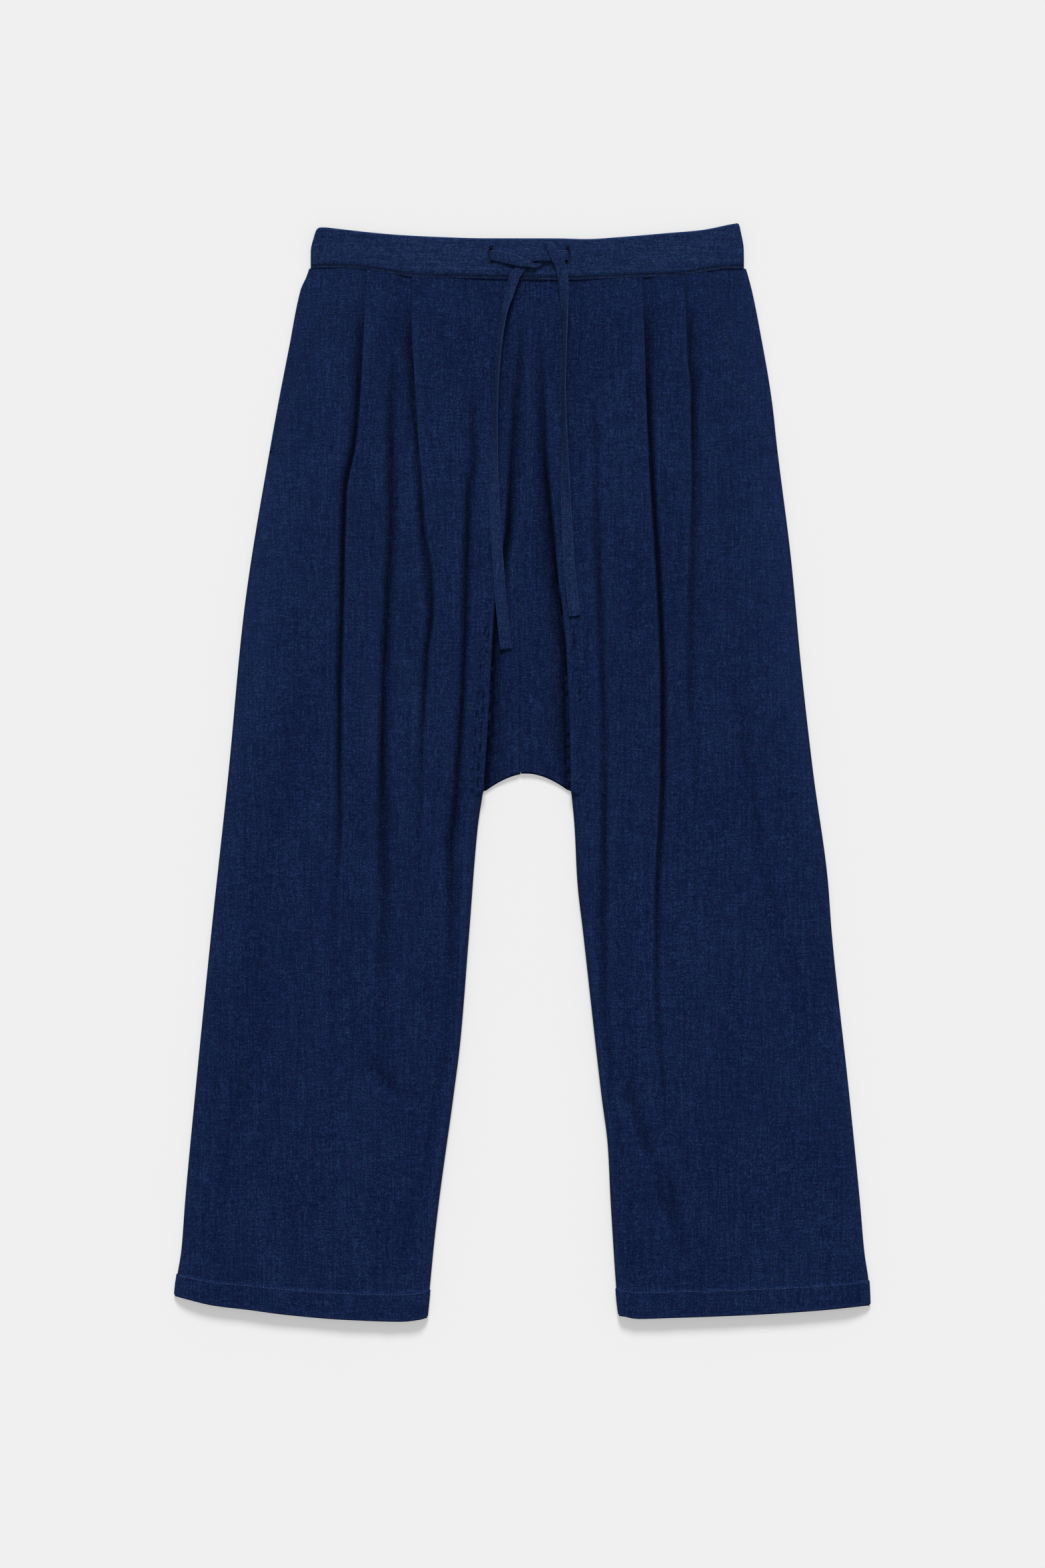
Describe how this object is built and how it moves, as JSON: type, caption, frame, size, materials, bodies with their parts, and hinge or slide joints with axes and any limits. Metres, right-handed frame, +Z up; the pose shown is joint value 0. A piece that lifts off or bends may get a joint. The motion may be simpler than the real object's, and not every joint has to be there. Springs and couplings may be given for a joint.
{
  "type": "baggy pull-on jeans laid flat",
  "caption": "Drop-crotch pleated pull-on jeans laid flat, with slant pockets, a flat waistband and a flat drawstring tied in a half knot.",
  "frame": {"origin": "centre of the garment's outline, on the surface that it lies on", "axes": "+Y from the hems to the waist, +X to the viewer's right, +Z up out of the cloth"},
  "size_m": [0.626, 0.9882, 0.0164],
  "materials": {
    "denim": "soft indigo cotton, plain slubbed weave, matt",
    "waistband": "the same indigo cotton in two layers, topstitched",
    "drawstring": "the same indigo cotton folded to a flat tape, stitched along its edges"
  },
  "bodies": {
    "root": {"front_left": "denim", "front_right": "denim", "back_left": "denim", "back_right": "denim", "pocket_facing_left": "denim", "pocket_facing_right": "denim", "waistband_front": "waistband", "waistband_back": "waistband", "drawstring_left": "drawstring", "drawstring_right": "drawstring"}
  },
  "joints": []
}
